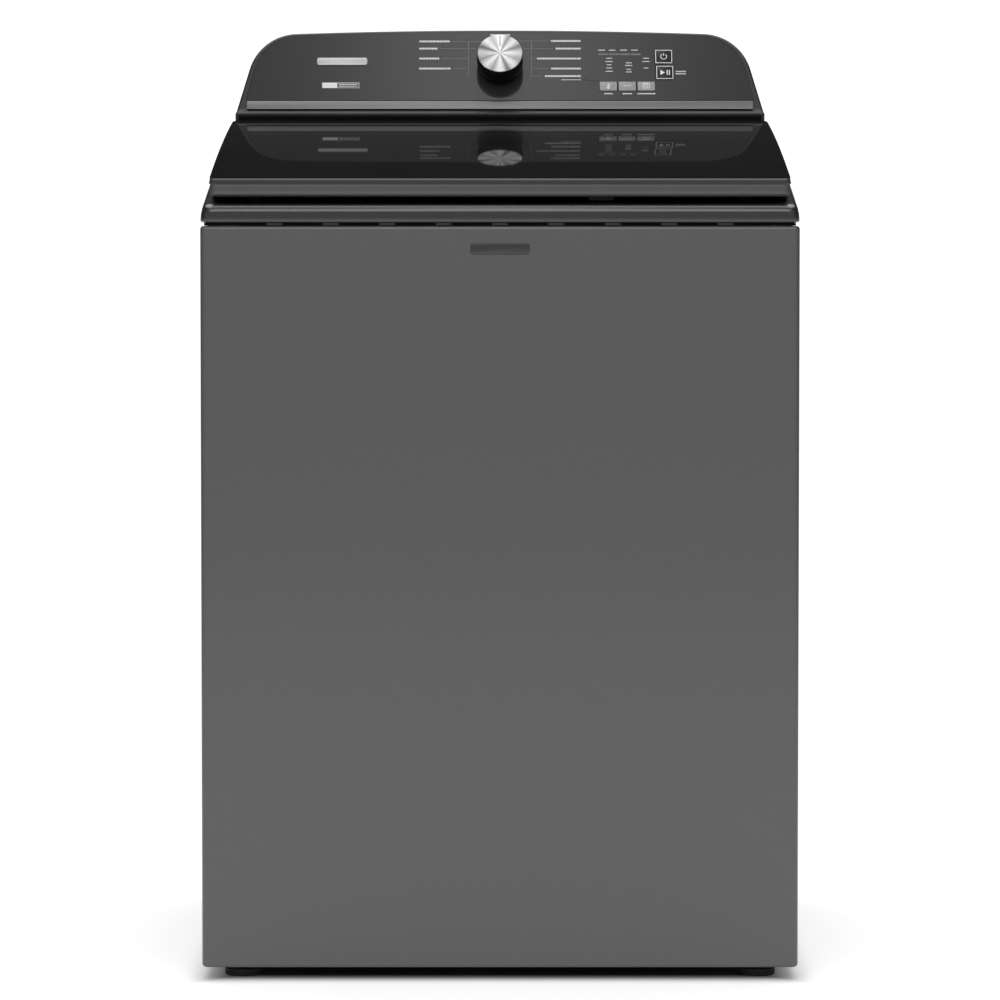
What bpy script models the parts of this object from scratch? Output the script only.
"""Top load washing machine: cabinet, lid, console, suspended tub, basket, lift-out agitator and drive.

Metres, +Z up. The origin is on the floor, under the middle of the machine. -Y is the front.
"""

import math

import bmesh
import bpy
from mathutils import Matrix, Vector

# Driving dimensions of the whole machine
WIDTH = 0.692
DEPTH = 0.705
CABINET_DEPTH = 0.680
CABINET_BOTTOM = 0.015
CABINET_TOP = 0.875
SHEET = 0.0015
GAP = 0.0005

FRONT = -DEPTH / 2
BACK = FRONT + CABINET_DEPTH
HALF = WIDTH / 2

# Deck: the moulded top that carries the lid and the console
DECK_BOTTOM = 0.879
DECK_WALL = 0.003
DECK_TOP_REAR = 0.980
OPENING_HALF_X = 0.205
OPENING_FRONT = FRONT + 0.110
OPENING_BACK = FRONT + 0.450
OPENING_RADIUS = 0.150

# Lid: its top is a shallow arc that rises to the back
LID_FRONT = FRONT + 0.016
LID_BACK = FRONT + 0.486
LID_HALF_X = 0.3355
LID_Z_FRONT = 0.930
LID_RISE = 0.0798
LID_CROWN = 0.0196
HINGE_Y = FRONT + 0.478
HINGE_Z = 0.994
HINGE_X = 0.300
PIN_RADIUS = 0.004

# Console: its face leans back, and its place is given by the foot of that face
FACE_LEAN = math.radians(32)
FACE_FOOT = Vector((0, FRONT + 0.5241, 1.0366))
FACE_UP = Vector((0, math.sin(FACE_LEAN), math.cos(FACE_LEAN)))
FACE_OUT = Vector((0, -math.cos(FACE_LEAN), math.sin(FACE_LEAN)))
FACE_LENGTH = 0.1075
CONSOLE_HALF_X = 0.3344
CONSOLE_SHOULDER_Z = 1.0185
CONSOLE_SLANT = 0.27
CONSOLE_FOOT_Y = FRONT + 0.505
CONSOLE_WALL = 0.0040
CORNER_CENTRE = (0.2588, 1.0609)
CORNER_RADIUS = 0.062
CONSOLE_CROWN = 0.0045
FASCIA = 0.002
KNOB_AT = 0.0516
KNOB_RADIUS = 0.0291
KNOB_SKIRT = (0.012, 0.0285)

# Push keys on the face: centre x, height up the face, width, height
KEYS = {
    "key_temperature": (0.1376, 0.0210, 0.0220, 0.0135),
    "key_rinse": (0.1616, 0.0210, 0.0220, 0.0135),
    "key_deep_fill": (0.1857, 0.0210, 0.0220, 0.0135),
    "key_power": (0.2086, 0.0662, 0.0226, 0.0214),
    "key_start": (0.2096, 0.0418, 0.0226, 0.0210),
}
KEY_PROUD = 0.0007
KEY_DEPTH = 0.0032

# Wash unit, about the vertical axis of the tub
TUB_Y = (FRONT + BACK) / 2
TUB_RADIUS = 0.300
TUB_FLOOR = 0.185
TUB_TOP = 0.806
BASKET_RADIUS = 0.278
BASKET_FLOOR = 0.2215
BASKET_TOP = 0.775
SHAFT_RADIUS = 0.010
SPIN_TUBE_RADIUS = 0.015
POST_BASE = 0.2545
POST_TOP = 0.660
ROUND_STEPS = 28

# Suspension: a rod with a spring at each corner
ROD_X = 0.290
ROD_Y = 0.280
ROD_RADIUS = 0.004
ROD_FOOT = 0.292
SEAT_TOP = 0.298
EAR_BOTTOM = 0.405
EAR_TOP = 0.425
GUSSET_Z = 0.830
GUSSET_THICK = 0.004
SPRING_RADIUS = 0.015
SPRING_WIRE = 0.0017
SPRING_TURNS = 4

FOOT_X = 0.300
FOOT_FRONT = FRONT + 0.050
FOOT_BACK = BACK - 0.050
FOOT_RADIUS = 0.022

# Water: valve ports and drain outlet at the back, cord gland, detergent drawer, pump
VALVE_X = (-0.215, -0.155)
VALVE_Z = 0.925
OUTLET_X, OUTLET_Z = -0.150, 0.720
OUTLET_RADIUS = 0.0125
GLAND_X, GLAND_Z = 0.230, 0.760
GLAND_RADIUS = 0.0045
DRAWER_Y = FRONT + 0.285
PUMP_X, PUMP_Y, PUMP_SPOUT_Z = -0.170, -0.200, 0.154
HOSE_RADIUS = 0.0130

# Lid lock: its middle, and the strike that drops into it
LOCK_Y = FRONT + 0.060
BOLT_Z = 0.8875
STRIKE_X = (0.1095, 0.1255)

REAR_PANEL_THICK = 0.0012
REAR_PANEL_STEP = 0.006
BASE_FRAME_Z = (0.0180, 0.0420)
BASE_FRAME_WIDE = 0.030
BASE_FRAME_THICK = 0.002

COLOURS = {
    "cabinet_paint": ((0.100, 0.100, 0.102), 0.35, 0.4),
    "deck_enamel": ((0.030, 0.030, 0.032), 0.30, 0.0),
    "trim_metal": ((0.210, 0.210, 0.212), 0.35, 0.6),
    "console_film": ((0.085, 0.085, 0.087), 0.40, 0.3),
    "black_plastic": ((0.015, 0.015, 0.016), 0.40, 0.0),
    "dark_glass": ((0.008, 0.008, 0.009), 0.05, 0.0),
    "knob_metal": ((0.700, 0.700, 0.700), 0.25, 1.0),
    "key_grey": ((0.330, 0.330, 0.335), 0.50, 0.0),
    "tub_plastic": ((0.620, 0.640, 0.660), 0.50, 0.0),
    "basket_steel": ((0.600, 0.600, 0.600), 0.25, 1.0),
    "agitator_plastic": ((0.300, 0.310, 0.330), 0.45, 0.0),
    "bare_steel": ((0.450, 0.450, 0.450), 0.40, 1.0),
    "zinc_steel": ((0.520, 0.530, 0.540), 0.45, 0.9),
    "rubber": ((0.020, 0.020, 0.020), 0.80, 0.0),
    "copper": ((0.600, 0.260, 0.120), 0.35, 0.9),
    "board_green": ((0.030, 0.160, 0.060), 0.50, 0.0),
    "valve_white": ((0.750, 0.750, 0.730), 0.50, 0.0),
}


def clear_scene():
    for item in list(bpy.data.objects):
        bpy.data.objects.remove(item)


def make_material(name):
    colour, roughness, metallic = COLOURS[name]
    material = bpy.data.materials.get(name) or bpy.data.materials.new(name)
    material.use_nodes = True
    shader = material.node_tree.nodes["Principled BSDF"]
    shader.inputs["Base Color"].default_value = (*colour, 1)
    shader.inputs["Roughness"].default_value = roughness
    shader.inputs["Metallic"].default_value = metallic
    return material


def place(name, bm, material, parent=None):
    """Turns a bmesh, drawn in machine coordinates, into a named object."""
    bmesh.ops.remove_doubles(bm, verts=bm.verts, dist=1e-6)
    bmesh.ops.recalc_face_normals(bm, faces=bm.faces)
    mesh = bpy.data.meshes.new(name)
    bm.to_mesh(mesh)
    bm.free()
    mesh.shade_smooth()
    mesh.set_sharp_from_angle(angle=math.radians(35))
    item = bpy.data.objects.new(name, mesh)
    bpy.context.scene.collection.objects.link(item)
    mesh.materials.append(make_material(material))
    if parent is not None:
        origin = parent.matrix_world.inverted()
        mesh.transform(origin)
        item.parent = parent
    return item


def pivot(name, location, direction=None):
    """An empty on a joint's axis. Its children are drawn about it."""
    empty = bpy.data.objects.new(name, None)
    bpy.context.scene.collection.objects.link(empty)
    turn = Matrix.Identity(4)
    if direction is not None:
        turn = Vector(direction).to_track_quat("Z", "Y").to_matrix().to_4x4()
    empty.matrix_world = Matrix.Translation(location) @ turn
    bpy.context.view_layer.update()
    return empty


def boolean(item, tool_bm, operation="DIFFERENCE"):
    """Cuts or joins a hidden tool, drawn in machine coordinates."""
    tool = place(item.name + "_tool", tool_bm, "bare_steel", item.parent)
    tool.hide_render = True
    tool.display_type = "WIRE"
    modifier = item.modifiers.new(operation.lower(), "BOOLEAN")
    modifier.operation = operation
    modifier.solver = "EXACT"
    modifier.object = tool
    return item


def round_edges(item, width, segments=2, angle=35):
    modifier = item.modifiers.new("edges", "BEVEL")
    modifier.width = width
    modifier.segments = segments
    modifier.limit_method = "ANGLE"
    modifier.angle_limit = math.radians(angle)


def box(low, high):
    bm = bmesh.new()
    low, high = Vector(low), Vector(high)
    matrix = Matrix.Translation((low + high) / 2) @ Matrix.Diagonal((*(high - low), 1))
    bmesh.ops.create_cube(bm, size=1, matrix=matrix)
    return bm


def rod(start, end, radius, sides=20):
    """A cylinder between two points."""
    bm = bmesh.new()
    start, end = Vector(start), Vector(end)
    along = end - start
    matrix = Matrix.Translation((start + end) / 2) @ along.to_track_quat("Z", "Y").to_matrix().to_4x4()
    bmesh.ops.create_cone(
        bm, cap_ends=True, segments=sides, radius1=radius, radius2=radius, depth=along.length, matrix=matrix
    )
    return bm


def prism(outline, start, end):
    """A solid between one outline of points and the same outline moved from start to end."""
    bm = bmesh.new()
    start, end = Vector(start), Vector(end)
    face = bm.faces.new([bm.verts.new(Vector(point) + start) for point in outline])
    moved = bmesh.ops.extrude_face_region(bm, geom=[face])
    corners = [part for part in moved["geom"] if isinstance(part, bmesh.types.BMVert)]
    bmesh.ops.translate(bm, verts=corners, vec=end - start)
    return bm


def turned(profile, centre=(0, TUB_Y), steps=ROUND_STEPS):
    """Spins (radius, height) points about a vertical axis. A profile off the axis is closed first."""
    bm = bmesh.new()
    points = [bm.verts.new((centre[0] + r, centre[1], z)) for r, z in profile]
    pairs = list(zip(points, points[1:]))
    if profile[0][0] > 0:
        pairs.append((points[-1], points[0]))
    edges = [bm.edges.new(pair) for pair in pairs]
    bmesh.ops.spin(
        bm, geom=points + edges, cent=(*centre, 0), axis=(0, 0, 1), angle=math.tau, steps=steps,
        use_merge=True,
    )
    return bm


def sweep(rows, closed_rows=True, closed_section=True):
    """Skins rows of points. Rows that aren't closed get an end face on each side."""
    bm = bmesh.new()
    grid = [[bm.verts.new(point) for point in row] for row in rows]
    count = len(grid[0])
    spans = len(grid) if closed_section else len(grid) - 1
    for i in range(spans):
        low, high = grid[i], grid[(i + 1) % len(grid)]
        for j in range(count if closed_rows else count - 1):
            k = (j + 1) % count
            bm.faces.new((low[j], low[k], high[k], high[j]))
    if not closed_rows:
        bm.faces.new([row[0] for row in grid])
        bm.faces.new([row[-1] for row in grid])
    if not closed_section:
        bm.faces.new(grid[0])
        bm.faces.new(grid[-1])
    return bm


def tube(line, radius, sides):
    """A round bar along a line of points."""
    rows, across = [], None
    for i, point in enumerate(line):
        ahead = (line[min(i + 1, len(line) - 1)] - line[max(i - 1, 0)]).normalized()
        across = across or ahead.orthogonal()
        across = (across - ahead * across.dot(ahead)).normalized()
        up = ahead.cross(across)
        turns = [math.tau * step / sides for step in range(sides)]
        rows.append([point + (across * math.cos(turn) + up * math.sin(turn)) * radius for turn in turns])
    return sweep(rows, closed_section=False)


def rounded_outline(half_x, front, back, radius, corner=4, side=4):
    """Plan points of a rounded rectangle, with extra points along its two sides."""
    centres = [
        (half_x - radius, front + radius, -90),
        (half_x - radius, back - radius, 0),
        (radius - half_x, back - radius, 90),
        (radius - half_x, front + radius, 180),
    ]
    points = []
    for number, (x, y, start) in enumerate(centres):
        for step in range(corner + 1):
            turn = math.radians(start + 90 * step / corner)
            points.append((x + radius * math.cos(turn), y + radius * math.sin(turn)))
        if number in (0, 2):
            far = back - radius if number == 0 else front + radius
            for step in range(1, side):
                points.append((points[-1][0], y + (far - y) * step / side))
    return points


def lid_top(y):
    share = (y - LID_FRONT) / (LID_BACK - LID_FRONT)
    return LID_Z_FRONT + LID_RISE * share + LID_CROWN * share * (1 - share)


def deck_top(y):
    share = min(1, max(0, (y - FRONT) / (LID_BACK - FRONT)))
    return min(DECK_TOP_REAR, lid_top(y) - 0.031 + 0.0025 * share)


def on_face(x, up, out):
    """A point on the console: x, distance up its leaning face, distance out from it."""
    return Vector((x, 0, 0)) + FACE_FOOT + FACE_UP * up + FACE_OUT * out


def face_box(x, up, width, height, low, high):
    signs = ((-1, -1), (1, -1), (1, 1), (-1, 1))
    outline = [on_face(x + sx * width / 2, up + su * height / 2, 0) for sx, su in signs]
    return prism(outline, FACE_OUT * low, FACE_OUT * high)


# ---------------------------------------------------------------- cabinet


def wrap_outline(inset):
    """Plan line of the wrapped sheet: rear flange, side, front, side, rear flange."""
    radius = 0.007 - min(inset, 0.006) * 0.9
    x, front, back = HALF - inset, FRONT + inset, BACK - inset
    flange = HALF - 0.024
    right = [(flange, back), (x - 0.002, back), (x, back - 0.002)]
    for step in range(5):
        turn = math.radians(-90 * step / 4)
        right.append((x - radius + radius * math.cos(turn), front + radius + radius * math.sin(turn)))
    return right + [(-px, py) for px, py in reversed(right)]


def build_cabinet():
    edge, hem = 0.004, 0.016
    low, high = CABINET_BOTTOM, CABINET_TOP
    outer = [
        (hem, low), (edge, low), (0.0012, low + 0.0012), (0, low + edge),
        (0, high - edge), (0.0012, high - 0.0012), (edge, high), (hem, high),
    ]
    inner = [
        (hem, high - SHEET), (edge, high - SHEET), (SHEET, high - edge),
        (SHEET, low + edge), (edge, low + SHEET), (hem, low + SHEET),
    ]
    rows = [[(x, y, z) for x, y in wrap_outline(inset)] for inset, z in outer + inner]
    shell = place("cabinet_shell", sweep(rows, closed_rows=False), "cabinet_paint")
    for sx in (-1, 1):
        for sy in (-1, 1):
            rod_y = TUB_Y + sy * ROD_Y
            wall = HALF - SHEET / 2
            near = ROD_X - 0.012
            corner = [
                (sx * wall, rod_y - 0.045, GUSSET_Z), (sx * near, rod_y - 0.014, GUSSET_Z),
                (sx * near, rod_y + 0.014, GUSSET_Z), (sx * wall, rod_y + 0.045, GUSSET_Z),
            ]
            boolean(shell, prism(corner, (0, 0, 0), (0, 0, GUSSET_THICK)), "UNION")
            hole = rod((sx * ROD_X, rod_y, 0.80), (sx * ROD_X, rod_y, 0.87), ROD_RADIUS + 0.002, 12)
            boolean(shell, hole)

    build_rear_panel()
    build_base_frame()
    build_feet()


def build_rear_panel():
    """A pressed sheet behind the cabinet's rear flanges, with one raised field."""
    low, high = CABINET_BOTTOM + 0.015, CABINET_TOP - 0.004
    half = HALF - 0.012
    middle = (low + high) / 2
    outside = BACK + GAP + REAR_PANEL_THICK

    def ring(inset, y):
        points = rounded_outline(half - inset, low + inset - middle, high - inset - middle, 0.012, 3, 1)
        return [(x, y, z + middle) for x, z in points]

    raised = outside + REAR_PANEL_STEP
    rows = [
        ring(0, BACK + GAP), ring(0, outside), ring(0.045, outside), ring(0.055, raised),
        ring(0.075, raised), ring(0.075, raised - REAR_PANEL_THICK), ring(0.0562, raised - REAR_PANEL_THICK),
        ring(0.0462, BACK + GAP),
    ]
    panel = place("rear_panel", sweep(rows), "zinc_steel")
    field_low = (-half + 0.073, raised - REAR_PANEL_THICK, low + 0.073)
    boolean(panel, box(field_low, (half - 0.073, raised, high - 0.073)), "UNION")
    boolean(panel, rod((OUTLET_X, BACK - 0.01, OUTLET_Z), (OUTLET_X, BACK + 0.03, OUTLET_Z), 0.0165))
    boolean(panel, rod((GLAND_X, BACK - 0.01, GLAND_Z), (GLAND_X, BACK + 0.03, GLAND_Z), 0.0105))


def build_base_frame():
    """A folded ring that ties the cabinet's foot together, with a plate for each foot."""
    low, high = BASE_FRAME_Z
    wide, thick = BASE_FRAME_WIDE, BASE_FRAME_THICK

    def ring(inset, z):
        front, back = FRONT + 0.006 + inset, BACK - 0.006 - inset
        points = rounded_outline(HALF - 0.004 - inset, front, back, 0.012 - inset / 4, 2, 1)
        return [(x, y, z) for x, y in points]

    rows = [
        ring(0, low), ring(0, high), ring(wide, high), ring(wide, high - thick),
        ring(thick, high - thick), ring(thick, low),
    ]
    frame = place("base_frame", sweep(rows), "zinc_steel")
    for x in (-FOOT_X, FOOT_X):
        for y in (FOOT_FRONT, FOOT_BACK):
            plate = box((x - 0.034, y - 0.034, high - thick - 0.003), (x + 0.034, y + 0.034, high - 0.0006))
            boolean(frame, plate, "UNION")
            boolean(frame, rod((x, y, 0.02), (x, y, 0.06), 0.0066, 16))


def build_feet():
    for side, x in (("left", -FOOT_X), ("right", FOOT_X)):
        for end, y in (("front", FOOT_FRONT), ("rear", FOOT_BACK)):
            name = f"foot_{end}_{side}"
            axis = pivot(name + "_axis", (x, y, 0))
            profile = [
                (0, 0), (FOOT_RADIUS - 0.002, 0), (FOOT_RADIUS, 0.002), (FOOT_RADIUS, 0.008),
                (0.011, 0.0125), (0.006, 0.0125), (0.006, 0.062), (0, 0.062),
            ]
            place(name, turned(profile, (x, y), 12), "rubber", axis)


# ---------------------------------------------------------------- deck and lid


def deck_ring(inset_x, inset_y, height, follow=1.0):
    """A ring of the deck. follow 1 keeps it parallel to the deck's top, 0 keeps it level."""
    points = rounded_outline(HALF - inset_x, FRONT + inset_y, BACK - 0.45 * inset_y, 0.012)
    return [(x, y, height + follow * (deck_top(y) - DECK_BOTTOM)) for x, y in points]


def opening_ring(grow, drop=None, level=None):
    """A ring of the wash opening: drop below the deck's top, or at one level."""
    points = rounded_outline(
        OPENING_HALF_X + grow, OPENING_FRONT - grow, OPENING_BACK + grow, OPENING_RADIUS + grow
    )
    return [(x, y, level if level is not None else deck_top(y) - drop) for x, y in points]


def build_deck():
    wall = DECK_WALL
    rows = [
        deck_ring(0.0006, 0.0006, DECK_BOTTOM, 0),
        deck_ring(0, 0, DECK_BOTTOM + 0.002, 0),
        deck_ring(0.0008, 0.0004, DECK_BOTTOM + 0.011, 0),
        deck_ring(0.0065, 0.0020, DECK_BOTTOM - 0.0060),
        deck_ring(0.0080, 0.0045, DECK_BOTTOM - 0.0020),
        deck_ring(0.0110, 0.0085, DECK_BOTTOM),
        opening_ring(0.012, drop=0),
        opening_ring(0.006, drop=-0.003),
        opening_ring(0.001, drop=-0.002),
        opening_ring(0, drop=0.004),
        opening_ring(0.006, level=0.850),
        opening_ring(0.006 + wall, level=0.850),
        opening_ring(0.001 + wall, drop=0.006),
        deck_ring(0.0120 + wall, 0.0115, DECK_BOTTOM - wall - 0.001),
        deck_ring(0.0095 + wall, 0.0080, DECK_BOTTOM - wall - 0.006),
        deck_ring(0.0130, 0.0130, DECK_BOTTOM - 0.0032, 0),
        deck_ring(0.0055, 0.0055, DECK_BOTTOM - 0.0032, 0),
        deck_ring(0.0055, 0.0055, DECK_BOTTOM, 0),
    ]
    deck = place("top_panel", sweep(rows), "deck_enamel")
    for x in VALVE_X:
        boolean(deck, rod((x, BACK - 0.03, VALVE_Z), (x, BACK + 0.02, VALVE_Z), 0.0150, 20))
    boolean(deck, box((0.106, FRONT + 0.040, 0.88), (0.129, FRONT + 0.072, 0.93)))
    drawer_low = (-OPENING_HALF_X - 0.02, DRAWER_Y - 0.0475, 0.8785)
    boolean(deck, box(drawer_low, (-OPENING_HALF_X + 0.02, DRAWER_Y + 0.0475, 0.9315)))
    boolean(deck, box((-0.036, OPENING_BACK - 0.02, 0.9085), (0.036, OPENING_BACK + 0.03, 0.9295)))


def build_lid():
    """Frame, front trim with the finger grip, glass and strike. All turn on the rear pins."""
    axis = pivot("lid_axis", (0, HINGE_Y, HINGE_Z), (1, 0, 0))
    frame_front = FRONT + 0.0345

    def ring(inset, drop):
        radius = max(0.002, 0.012 - inset)
        points = rounded_outline(LID_HALF_X - inset, frame_front + inset, LID_BACK - inset, radius)
        return [(x, y, lid_top(y) - drop) for x, y in points]

    skirt, flange = 0.004, 0.036
    rows = [
        ring(0, 0.0245), ring(0, 0.0056), ring(flange, 0.0056), ring(flange, 0.0092),
        ring(skirt, 0.0092), ring(skirt, 0.0245),
    ]
    frame = place("lid_frame", sweep(rows), "black_plastic", axis)
    for side in (-1, 1):
        ends = sorted((side * (HINGE_X + 0.0045), side * (LID_HALF_X - 0.002)))
        boss_low = (ends[0], HINGE_Y - 0.009, HINGE_Z - 0.0075)
        boolean(frame, box(boss_low, (ends[1], HINGE_Y + 0.0065, lid_top(HINGE_Y) - 0.0065)), "UNION")
        notch = sorted((side * (HINGE_X - 0.036), side * (HINGE_X + 0.004)))
        boolean(frame, box((notch[0], HINGE_Y - 0.016, 0.96), (notch[1], HINGE_Y + 0.02, HINGE_Z + 0.012)))
        bore_start = (side * (HINGE_X - 0.04), HINGE_Y, HINGE_Z)
        boolean(frame, rod(bore_start, (side * (HINGE_X + 0.0195), HINGE_Y, HINGE_Z), PIN_RADIUS + GAP, 16))

    place("lid_glass", sweep(glass_sections(), closed_section=False), "dark_glass", axis)
    place("lid_trim", prism(trim_section(), (-LID_HALF_X, 0, 0), (LID_HALF_X, 0, 0)), "trim_metal", axis)

    near, far, y = *STRIKE_X, LOCK_Y
    plate = box((near, y - 0.0125, 0.9245), (far, y + 0.0125, 0.9268))
    strike = place("lid_strike", plate, "bare_steel", axis)
    boolean(strike, box((near + 0.006, y - 0.0060, 0.8790), (far - 0.006, y + 0.0060, 0.9255)), "UNION")
    boolean(strike, box((near, y - 0.0036, BOLT_Z - 0.005), (far, y + 0.0036, BOLT_Z + 0.005)))


def glass_sections():
    """Cross sections of the lid's glass from its front edge to its back edge."""
    front, back, wide, radius = FRONT + 0.0172, LID_BACK - 0.0015, LID_HALF_X - 0.0015, 0.010
    turns = [math.radians(90 * step / 3) for step in range(4)]
    ends = [(radius * (1 - math.cos(turn)), wide - radius * (1 - math.sin(turn))) for turn in turns]
    stations = [(front + y, half) for y, half in ends]
    stations += [(front + (back - front) * step / 10, wide) for step in range(1, 10)]
    stations += [(back - y, half) for y, half in reversed(ends)]
    for y, half in stations:
        top = lid_top(y)
        outline = [(half, top - 0.0044), (half, top - 0.0008), (half - 0.001, top)]
        outline += [(-x, z) for x, z in reversed(outline)]
        yield [(x, y, z) for x, z in outline]


def trim_section():
    """Side view of the lid's front trim: lip, upper face, front face, chin and hollow back."""
    points = [
        (0.0165, 0.9296), (0.0165, 0.9250), (0.0340, 0.9285), (0.0340, 0.9240), (0.0160, 0.9200),
        (0.0160, 0.9120), (0.0340, 0.9120), (0.0340, 0.9090), (0.0150, 0.9085), (0.0118, 0.9100),
        (0.0105, 0.9135), (0.0105, 0.9225), (0.0112, 0.9238), (0.0122, 0.9284), (0.0135, 0.9294),
    ]
    return [(0, FRONT + y, z) for y, z in points]


def build_hinge_pins():
    for name, side in (("hinge_pin_left", -1), ("hinge_pin_right", 1)):
        ear = sorted((side * (HINGE_X - 0.008), side * HINGE_X))
        foot = sorted((side * (HINGE_X - 0.032), side * HINGE_X))
        base = DECK_TOP_REAR + GAP
        ear_box = box((ear[0], HINGE_Y - 0.0075, base), (ear[1], HINGE_Y + 0.0055, HINGE_Z + 0.0045))
        pin = place(name, ear_box, "bare_steel")
        foot_box = box((foot[0], HINGE_Y - 0.0073, base), (foot[1], HINGE_Y + 0.0053, base + 0.0025))
        boolean(pin, foot_box, "UNION")
        start, end = side * (HINGE_X - 0.004), side * (HINGE_X + 0.018)
        boolean(pin, rod((start, HINGE_Y, HINGE_Z), (end, HINGE_Y, HINGE_Z), PIN_RADIUS, 16), "UNION")


def build_lid_lock():
    """Lock body under the deck, open at the top for the strike, with a bolt that slides across."""
    y = LOCK_Y
    body = place("lid_lock", box((0.066, y - 0.026, 0.862), (0.150, y + 0.018, 0.8975)), "black_plastic")
    boolean(body, box((0.108, y - 0.018, 0.872), (0.127, y + 0.010, 0.91)))
    boolean(body, box((0.072, y - 0.0035, BOLT_Z - 0.0035), (0.142, y + 0.0035, BOLT_Z + 0.0035)))
    axis = pivot("bolt_axis", (0.092, y, BOLT_Z), (1, 0, 0))
    bolt_low, bolt_high = (0.0735, y - 0.0030, BOLT_Z - 0.0030), (0.1110, y + 0.0030, BOLT_Z + 0.0030)
    bolt = place("lock_bolt", box(bolt_low, bolt_high), "bare_steel", axis)
    round_edges(bolt, 0.0006, 1)


# ---------------------------------------------------------------- console


def console_outline(side, top, foot):
    """Front view (x, z) of the console, taken in by side and top, down to the height foot."""
    cx, cz = CORNER_CENTRE
    radius = CORNER_RADIUS - (side + top) / 2
    cx, cz = cx + (top - side) / 2, cz + (side - top) / 2
    if foot < CONSOLE_SHOULDER_Z:
        half = [(CONSOLE_HALF_X - side, foot), (CONSOLE_HALF_X - side, CONSOLE_SHOULDER_Z)]
    else:
        half = [(CONSOLE_HALF_X - side - CONSOLE_SLANT * (foot - CONSOLE_SHOULDER_Z), foot)]
    for step in range(9):
        turn = math.radians(15 + (88 - 15) * step / 8)
        half.append((cx + radius * math.cos(turn), cz + radius * math.sin(turn)))
    end_x, end_z = half[-1]
    for step in range(1, 5):
        share = 1 - step / 5
        half.append((end_x * share, end_z + CONSOLE_CROWN * (1 - share * share)))
    return half + [(0, end_z + CONSOLE_CROWN)] + [(-x, z) for x, z in reversed(half)]


def console_block(inset, foot):
    """The console's front outline, taken in by inset and drawn out to its back."""
    outline = [(x, 0, z) for x, z in console_outline(inset, inset, foot)]
    return prism(outline, (0, CONSOLE_FOOT_Y - 0.015, 0), (0, BACK - inset, 0))


def side_profile(inset):
    """Side view of the console: foot, ledge, leaning face, top and back."""
    low = on_face(0, -0.0165, -inset)
    high = on_face(0, FACE_LENGTH - inset, -inset)
    foot_y = CONSOLE_FOOT_Y + inset
    return [
        (0, foot_y, 0.90), (0, foot_y, CONSOLE_SHOULDER_Z - inset), (0, foot_y + 0.0025, 1.0222 - inset),
        (0, low.y, low.z - inset * 0.2), (0, high.y, high.z), (0, FRONT + 0.640, 1.1230 - inset),
        (0, BACK - 0.004 - inset, 1.086 - inset), (0, BACK - inset, 1.072 - inset), (0, BACK - inset, 0.90),
    ]


def build_console():
    foot = DECK_TOP_REAR + GAP
    housing = place("console_housing", console_block(0, foot), "black_plastic")
    boolean(housing, prism(side_profile(0), (-0.4, 0, 0), (0.4, 0, 0)), "INTERSECT")
    round_edges(housing, 0.004, 2, 40)
    inner = place("console_hollow_tool", console_block(CONSOLE_WALL, foot - 0.02), "bare_steel")
    inner.hide_render = True
    inner.display_type = "WIRE"
    boolean(inner, prism(side_profile(CONSOLE_WALL), (-0.4, 0, 0), (0.4, 0, 0)), "INTERSECT")
    modifier = housing.modifiers.new("hollow", "BOOLEAN")
    modifier.operation = "DIFFERENCE"
    modifier.solver = "EXACT"
    modifier.object = inner
    boolean(housing, face_plate(0.0075, 0.0022, 0.0, -FASCIA - 0.0004, 0.02, 0.0004))
    boolean(housing, face_plate(0.0135, 0.0090, 0.006, -0.02, 0.01))

    fascia = place("console_fascia", face_plate(0.0075, 0.0022, 0.0, -FASCIA, 0), "console_film")
    boolean(fascia, rod(on_face(0, KNOB_AT, -0.01), on_face(0, KNOB_AT, 0.01), 0.0045, 16))
    for x, up, width, height in KEYS.values():
        boolean(fascia, face_box(x, up, width + 0.0010, height + 0.0010, -0.01, 0.01))

    trim = place("console_trim", face_box(0, -0.0090, 0.6414, 0.0120, GAP, 0.0026), "trim_metal")
    round_edges(trim, 0.0006, 1)
    build_control_board()
    build_keys()
    build_knob()


def face_plate(side, top, low_edge, low, high, spare=0.0):
    """A plate on the leaning face, between two distances out from it."""
    outline = []
    for x, z in console_outline(side - spare, top - spare, FACE_FOOT.z):
        up = (z - FACE_FOOT.z) / math.cos(FACE_LEAN)
        outline.append(on_face(x, max(up, low_edge) if up > 0.001 else low_edge - spare, 0))
    return prism(outline, FACE_OUT * low, FACE_OUT * high)


def build_control_board():
    """Circuit board behind the face, with the dial's encoder and a switch for each key."""
    board = place("control_board", face_box(0.095, 0.050, 0.270, 0.080, -0.0115, -0.0100), "board_green")
    boolean(board, rod(on_face(0, KNOB_AT, -0.0105), on_face(0, KNOB_AT, -0.0045), 0.009, 16), "UNION")
    for x, up, _, _ in KEYS.values():
        boolean(board, face_box(x, up, 0.007, 0.007, -0.0105, -0.0050), "UNION")
    for x in (-0.034, 0.224):
        for up in (0.016, 0.084):
            post = rod(on_face(x, up, -0.0105), on_face(x, up, -FASCIA - GAP), 0.003, 8)
            boolean(board, post, "UNION")
    capacitor, transformer = (0.045, 0.035, 0.030, 0.026, 0.024), (0.100, 0.060, 0.040, 0.016, 0.014)
    for x, up, width, height, depth in (capacitor, transformer):
        boolean(board, face_box(x, up, width, height, -0.0110 - depth, -0.0110), "UNION")


def build_keys():
    for name, (x, up, width, height) in KEYS.items():
        axis = pivot(name + "_axis", on_face(x, up, 0), FACE_OUT)
        key = place(name, face_box(x, up, width, height, KEY_PROUD - KEY_DEPTH, KEY_PROUD), "key_grey", axis)
        round_edges(key, 0.0004, 1)


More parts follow.
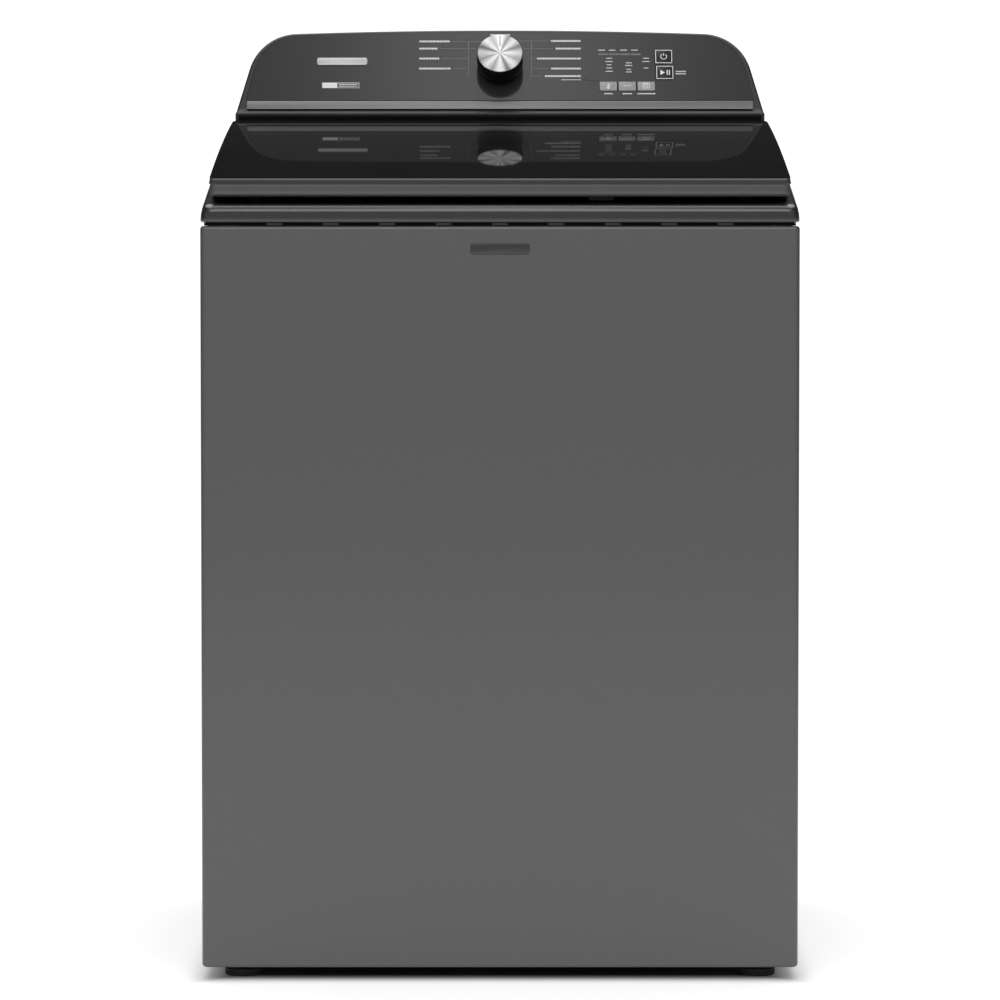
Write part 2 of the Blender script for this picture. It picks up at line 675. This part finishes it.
def build_knob():
    axis = pivot("knob_axis", on_face(0, KNOB_AT, 0), FACE_OUT)
    low, high = KNOB_SKIRT
    body = [
        (0, -0.0040), (0.003, -0.0040), (0.003, GAP), (0.0155, GAP), (0.0150, low - 0.001), (0.0160, low),
        (KNOB_RADIUS - 0.001, low), (KNOB_RADIUS, low + 0.001), (KNOB_RADIUS - 0.0006, high), (0, high),
    ]
    cap = [
        (0, high + 0.0003), (KNOB_RADIUS - 0.0010, high + 0.0003), (KNOB_RADIUS - 0.0006, high + 0.0008),
        (KNOB_RADIUS - 0.0010, high + 0.0014), (0, high + 0.0022),
    ]
    for name, profile, material in (("knob_body", body, "black_plastic"), ("knob_cap", cap, "knob_metal")):
        shape = turned(profile, (0, 0), 28)
        bmesh.ops.transform(shape, matrix=axis.matrix_world, verts=shape.verts)
        place(name, shape, material, axis)


# ---------------------------------------------------------------- water


def build_water_parts():
    """Inlet valve, spray duct, detergent drawer, drain outlet and cord gland."""
    valve_low, valve_high = (-0.240, BACK - 0.052, VALVE_Z - 0.016), (-0.130, BACK - 0.0066, VALVE_Z + 0.016)
    valve = place("inlet_valve", box(valve_low, valve_high), "valve_white")
    for x in VALVE_X:
        boolean(valve, rod((x, BACK - 0.010, VALVE_Z), (x, DEPTH / 2, VALVE_Z), 0.0133, 16), "UNION")
        boolean(valve, rod((x, BACK - 0.004, VALVE_Z), (x, DEPTH / 2 + 0.01, VALVE_Z), 0.0100, 12))
        coil_low = (x - 0.012, BACK - 0.090, VALVE_Z - 0.012)
        boolean(valve, box(coil_low, (x + 0.012, BACK - 0.050, VALVE_Z + 0.012)), "UNION")

    duct_back = BACK - 0.1055
    mouth = box((-0.034, OPENING_BACK + 0.008, 0.9100), (0.034, duct_back, 0.9280))
    duct = place("inlet_duct", mouth, "valve_white")
    boolean(duct, box((-0.032, OPENING_BACK - 0.01, 0.9120), (0.032, duct_back - 0.01, 0.9260)))
    boolean(duct, box((-0.220, duct_back - 0.024, 0.9110), (-0.030, duct_back, 0.9270)), "UNION")
    feed = rod((-0.185, duct_back - 0.012, 0.9190), (-0.185, BACK - 0.0525, 0.9190), 0.0075, 16)
    boolean(duct, feed, "UNION")

    build_dispenser()
    outlet_radii, gland_radii = (0.0158, 0.0240, OUTLET_RADIUS), (0.0100, 0.0145, GLAND_RADIUS)
    build_collar("drain_outlet", (OUTLET_X, OUTLET_Z), (-0.0075, 0.022), (0.0080, 0.0110), outlet_radii)
    build_collar("cord_gland", (GLAND_X, GLAND_Z), (-0.002, 0.018), (0.0080, 0.0115), gland_radii)


def build_collar(name, centre, length, flange, radii):
    """A bored collar through the rear panel. length and flange run back from the cabinet."""
    x, z = centre
    body, rim, bore = radii

    def along(start, end, radius):
        return rod((x, BACK + start, z), (x, BACK + end, z), radius, 16)

    collar = place(name, along(*length, body), "black_plastic")
    boolean(collar, along(*flange, rim), "UNION")
    boolean(collar, along(length[0] - 0.01, length[1] + 0.01, bore))


def build_dispenser():
    """A drawer in the left wall of the opening, in its own housing under the deck."""
    inner = -OPENING_HALF_X - 0.0005
    low, high = (inner - 0.1155, DRAWER_Y - 0.0465, 0.8800), (inner - 0.0100, DRAWER_Y + 0.0465, 0.9300)
    housing = place("dispenser_housing", box(low, high), "valve_white")
    wall = 0.002
    room_low = (low[0] + wall, low[1] + wall, low[2] + wall)
    boolean(housing, box(room_low, (inner + 0.01, high[1] - wall, high[2] - wall)))
    axis = pivot("drawer_axis", (inner, DRAWER_Y, 0.905), (1, 0, 0))
    outside_low = (low[0] + 0.0028, low[1] + 0.0030, low[2] + 0.0030)
    outside = box(outside_low, (inner + 0.0005, high[1] - 0.0030, high[2] - 0.0030))
    drawer = place("detergent_drawer", outside, "agitator_plastic", axis)
    inside_low = (low[0] + 0.0050, low[1] + 0.0055, low[2] + 0.0055)
    boolean(drawer, box(inside_low, (inner - 0.004, high[1] - 0.0055, 0.95)))


# ---------------------------------------------------------------- wash unit


def corners():
    """The four suspension corners: name ending, x and y."""
    for side, x in (("left", -ROD_X), ("right", ROD_X)):
        for end, y in (("front", TUB_Y - ROD_Y), ("rear", TUB_Y + ROD_Y)):
            yield f"{end}_{side}", x, y


def build_suspension():
    ball = GUSSET_Z + GUSSET_THICK + 0.0068
    for ending, x, y in corners():
        profile = [
            (0, ROD_FOOT - 0.006), (0.008, ROD_FOOT - 0.006), (0.008, ROD_FOOT), (0.021, ROD_FOOT + 0.001),
            (0.021, SEAT_TOP - GAP), (ROD_RADIUS, SEAT_TOP - GAP), (ROD_RADIUS, ball - 0.0065),
            (0.0085, ball - 0.0063), (0.0100, ball), (0.0070, ball + 0.006), (0, ball + 0.008),
        ]
        place(f"suspension_rod_{ending}", turned(profile, (x, y), 8), "zinc_steel")
        build_spring(f"spring_{ending}", x, y)


def build_spring(name, x, y):
    """A compression spring between the rod's seat and the tub's ear."""
    low, high = SEAT_TOP + SPRING_WIRE + GAP, EAR_BOTTOM - SPRING_WIRE - GAP
    per_turn = 8
    count = SPRING_TURNS * per_turn
    line = []
    for step in range(count + 1):
        turn = math.tau * step / per_turn
        z = low + (high - low) * step / count
        line.append(Vector((x + SPRING_RADIUS * math.cos(turn), y + SPRING_RADIUS * math.sin(turn), z)))
    place(name, tube(line, SPRING_WIRE, 4), "bare_steel")


def build_tub(axis):
    floor, top, radius = TUB_FLOOR, TUB_TOP, TUB_RADIUS
    profile = [
        (0.0268, 0.150), (0.045, 0.150), (0.047, floor), (0.270, floor), (0.292, floor + 0.012),
        (radius - 0.002, floor + 0.040), (radius, top - 0.006), (radius + 0.006, top - 0.006),
        (radius + 0.006, top), (radius - 0.004, top), (radius - 0.006, floor + 0.045),
        (0.288, floor + 0.019), (0.268, floor + 0.005), (0.062, floor + 0.005), (0.045, 0.2145),
        (0.0268, 0.2145),
    ]
    tub = place("outer_tub", turned(profile), "tub_plastic", axis)
    reach = math.hypot(ROD_X, ROD_Y)
    for ending, x, y in corners():
        out = Vector((x, y - TUB_Y, 0)).normalized()
        across = Vector((-out.y, out.x, 0))
        centre = Vector((0, TUB_Y, EAR_BOTTOM))
        ear = [
            centre + out * (radius - 0.005) - across * 0.045, centre + out * (reach + 0.012) - across * 0.016,
            centre + out * (reach + 0.012) + across * 0.016, centre + out * (radius - 0.005) + across * 0.045,
        ]
        boolean(tub, prism(ear, (0, 0, 0), (0, 0, EAR_TOP - EAR_BOTTOM)), "UNION")
        boolean(tub, rod((x, y, EAR_BOTTOM - 0.02), (x, y, EAR_TOP + 0.02), 0.0075, 12))
    ring = [
        (radius + 0.0005, top + 0.0006), (radius + 0.009, top + 0.0006), (radius + 0.009, top + 0.016),
        (radius, top + 0.026), (0.242, top + 0.030), (0.236, top + 0.022), (0.240, top + 0.020),
        (0.290, top + 0.0190), (radius + 0.0005, top + 0.012),
    ]
    place("tub_ring", turned(ring), "tub_plastic", axis)


def build_drive(tub_axis, basket_axis, drive_axis, clutch_axis):
    stator = [
        (0.064, 0.102), (0.1235, 0.102), (0.1235, 0.134), (0.082, 0.134), (0.080, TUB_FLOOR - 0.0008),
        (0.064, TUB_FLOOR - 0.0008),
    ]
    place("stator", turned(stator), "copper", tub_axis)
    for name, low in (("upper_bearing", 0.190), ("lower_bearing", 0.1525)):
        ring = [(0.0158, low), (0.0262, low), (0.0262, low + 0.015), (0.0158, low + 0.015)]
        place(name, turned(ring, steps=16), "bare_steel", tub_axis)
    seal = [(0.0158, 0.2058), (0.0262, 0.2058), (0.0262, 0.2140), (0.0158, 0.2120)]
    place("tub_seal", turned(seal, steps=16), "rubber", tub_axis)
    sleeve = [(0.0106, 0.117), (SPIN_TUBE_RADIUS, 0.117), (SPIN_TUBE_RADIUS, 0.236), (0.0106, 0.236)]
    place("spin_tube", turned(sleeve, steps=16), "bare_steel", basket_axis)
    shaft = [(0, 0.078), (SHAFT_RADIUS, 0.078), (SHAFT_RADIUS, 0.296), (0, 0.296)]
    place("drive_shaft", turned(shaft, steps=16), "bare_steel", drive_axis)
    rotor = [
        (0.0106, 0.082), (0.0300, 0.082), (0.0320, 0.088), (0.1280, 0.088), (0.1330, 0.093), (0.1330, 0.140),
        (0.1285, 0.140), (0.1285, 0.096), (0.1260, 0.0925), (0.0340, 0.0925), (0.0300, 0.1150),
        (0.0106, 0.1150),
    ]
    place("rotor", turned(rotor), "zinc_steel", drive_axis)
    slider = [
        (0.0158, 0.1165), (0.0300, 0.1165), (0.0300, 0.1240), (0.0250, 0.1255), (0.0250, 0.1305),
        (0.0300, 0.1320), (0.0300, 0.1395), (0.0158, 0.1395),
    ]
    place("clutch_slider", turned(slider, steps=20), "bare_steel", clutch_axis)
    body = box((0.0345, TUB_Y - 0.016, 0.122), (0.0585, TUB_Y + 0.016, 0.1490))
    actuator = place("shift_actuator", body, "black_plastic", tub_axis)
    stem = box((0.0490, TUB_Y - 0.012, 0.145), (0.0585, TUB_Y + 0.012, TUB_FLOOR - 0.0008))
    boolean(actuator, stem, "UNION")


def build_pump(axis):
    x, y, z = PUMP_X, PUMP_Y, PUMP_SPOUT_Z
    profile = [
        (0, 0.075), (0.033, 0.075), (0.036, 0.079), (0.036, 0.132), (0.050, 0.136), (0.052, 0.168),
        (0.048, 0.172), (0.028, 0.173), (0.028, TUB_FLOOR - 0.0008), (0, TUB_FLOOR - 0.0008),
    ]
    pump = place("drain_pump", turned(profile, (x, y), 20), "black_plastic", axis)
    boolean(pump, rod((x - 0.036, y, z), (x - 0.036, y + 0.075, z), 0.0140, 16), "UNION")
    route = [
        (x - 0.036, y + 0.0755, z), (x - 0.036, -0.060, z), (-0.208, 0.060, 0.150), (-0.206, 0.180, 0.148),
        (-0.192, 0.252, 0.160), (-0.168, 0.284, 0.230), (-0.152, 0.286, 0.330), (OUTLET_X, 0.286, 0.500),
        (OUTLET_X, 0.286, 0.660), (OUTLET_X, 0.289, 0.694), (OUTLET_X, 0.300, 0.715),
        (OUTLET_X, BACK - 0.0200, OUTLET_Z), (OUTLET_X, BACK - 0.0092, OUTLET_Z),
    ]
    line = smooth_line([Vector(point) for point in route], 2)
    place("drain_hose", tube(line, HOSE_RADIUS, 8), "rubber", axis)


def smooth_line(points, per_span):
    """Points on a Catmull-Rom curve through the given ones."""
    padded = [points[0] * 2 - points[1], *points, points[-1] * 2 - points[-2]]
    line = []
    for i in range(1, len(padded) - 2):
        a, b, c, d = padded[i - 1 : i + 3]
        for step in range(per_span):
            t = step / per_span
            square, cube = 2 * a - 5 * b + 4 * c - d, 3 * b - a - 3 * c + d
            line.append(0.5 * (2 * b + (c - a) * t + square * t**2 + cube * t**3))
    return line + [points[-1]]


def build_basket(axis):
    floor, top, radius = BASKET_FLOOR, BASKET_TOP, BASKET_RADIUS
    wall = [
        (0.072, floor), (0.256, floor), (0.271, floor + 0.007), (radius, floor + 0.024), (radius, top),
        (radius - SHEET, top), (radius - SHEET, floor + 0.0245), (0.2698, floor + 0.0082),
        (0.2555, floor + SHEET), (0.072, floor + SHEET),
    ]
    place("basket", turned(wall), "basket_steel", axis)
    ring = [
        (0.2500, top + 0.0005), (radius, top + 0.0005), (0.2815, top + 0.008), (0.2815, top + 0.031),
        (0.2760, top + 0.037), (0.2500, top + 0.037), (0.2330, top + 0.031), (0.2280, top + 0.020),
        (0.2300, top + 0.009), (0.2370, top + 0.003),
    ]
    place("balance_ring", turned(ring), "agitator_plastic", axis)
    hub = [
        (0.0160, 0.2165), (0.088, 0.2165), (0.090, 0.2208), (0.0700, 0.2208), (0.0680, 0.2270),
        (0.0320, 0.2300), (0.0300, 0.2370), (0.0160, 0.2370),
    ]
    place("basket_hub", turned(hub, steps=24), "tub_plastic", axis)


def plate_top(radius):
    """Height of the wash plate's upper face."""
    return 0.2520 - 0.0055 * max(0, radius - 0.060) / 0.126


def build_wash_plate(axis):
    profile = [
        (0.0106, 0.2395), (0.180, 0.2395), (0.1905, 0.2350), (0.1945, 0.2370), (0.1920, 0.2430),
        (0.186, plate_top(0.186)), (0.060, plate_top(0.060)), (0.044, 0.2570), (0.040, 0.2630),
        (0.040, 0.3000), (0.0106, 0.3000),
    ]
    plate = place("wash_plate", turned(profile), "agitator_plastic", axis)
    for number in range(6):
        turn = math.tau * number / 6
        out = Vector((math.cos(turn), math.sin(turn), 0))
        boolean(plate, vane(out, 0.104, 0.178, 0.246, (0.266, 0.256), (0.013, 0.020)), "UNION")


def vane(out, near, far, low, tops, halves):
    """A wedge that stands on the plate, from near to far along out."""
    centre = Vector((0, TUB_Y, 0))
    across = Vector((-out.y, out.x, 0))
    rows = []
    for radius, top, half in ((near, tops[0], halves[0]), (far, tops[1], halves[1])):
        at, wide, narrow = centre + out * radius, across * half, across * half * 0.35
        foot, crest = at + Vector((0, 0, low)), at + Vector((0, 0, top))
        rows.append([foot - wide, foot + wide, crest + narrow, crest - narrow])
    return sweep(rows, closed_section=False)


def post_radius(z):
    """Outside of the agitator's post: wide at its skirt, slim at its neck."""
    share = (z - POST_BASE) / (POST_TOP - POST_BASE)
    return 0.046 + 0.044 * max(0, 1 - share / 0.42) ** 2.2


def build_agitator(axis):
    steps = 6
    outside = []
    for step in range(steps + 1):
        z = POST_BASE + (POST_TOP - POST_BASE) * step / steps
        outside.append((post_radius(z), z))
    inside = [(0.0365, POST_TOP), (0.0365, 0.3080), (0.0415, 0.3040), (0.0415, 0.2640), (0.0480, 0.2590),
              (post_radius(POST_BASE) - 0.004, POST_BASE + 0.0012)]
    post = place("agitator_post", turned(outside + inside), "agitator_plastic", axis)
    for number in range(4):
        boolean(post, fin(math.tau * number / 4, (0.268, 0.400), (0.108, 0.066), 0.15, 0.0045), "UNION")
    for number in range(3):
        boolean(post, fin(math.tau * number / 3, (0.425, 0.632), (0.074, 0.066), 1.9, 0.0035), "UNION")
    top = POST_TOP
    cap = [
        (0.0350, top - 0.012), (0.0350, top + 0.0006), (0.0470, top + 0.0006), (0.0475, top + 0.006),
        (0.0430, top + 0.018), (0.0300, top + 0.026), (0.0220, top + 0.027), (0.0200, top + 0.014),
        (0.0200, top + 0.010), (0.0310, top - 0.004), (0.0310, top - 0.012),
    ]
    place("agitator_cap", turned(cap, steps=24), "agitator_plastic", axis)


def fin(start, heights, reaches, twist, half):
    """An upright fin on the post that turns by twist as it rises."""
    rows, steps = [], 4
    for step in range(steps + 1):
        share = step / steps
        z = heights[0] + (heights[1] - heights[0]) * share
        turn = start + twist * share
        out = Vector((math.cos(turn), math.sin(turn), 0))
        across = Vector((-out.y, out.x, 0))
        reach = reaches[0] + (reaches[1] - reaches[0]) * share
        at, wide, tip = Vector((0, TUB_Y, z)), across * half, across * half * 0.6
        inner, outer = at + out * 0.044, at + out * reach
        rows.append([inner - wide, outer - tip, outer + tip, inner + wide])
    return sweep(rows, closed_section=False)


def main():
    clear_scene()
    build_cabinet()
    build_deck()
    build_lid()
    build_hinge_pins()
    build_lid_lock()
    build_console()
    build_water_parts()
    build_suspension()
    centre = (0, TUB_Y, TUB_FLOOR)
    tub_axis = pivot("tub_axis", centre)
    basket_axis = pivot("basket_axis", centre)
    drive_axis = pivot("drive_axis", centre)
    clutch_axis = pivot("clutch_axis", centre)
    agitator_axis = pivot("agitator_axis", centre)
    build_tub(tub_axis)
    build_pump(tub_axis)
    build_drive(tub_axis, basket_axis, drive_axis, clutch_axis)
    build_basket(basket_axis)
    build_wash_plate(drive_axis)
    build_agitator(agitator_axis)


main()
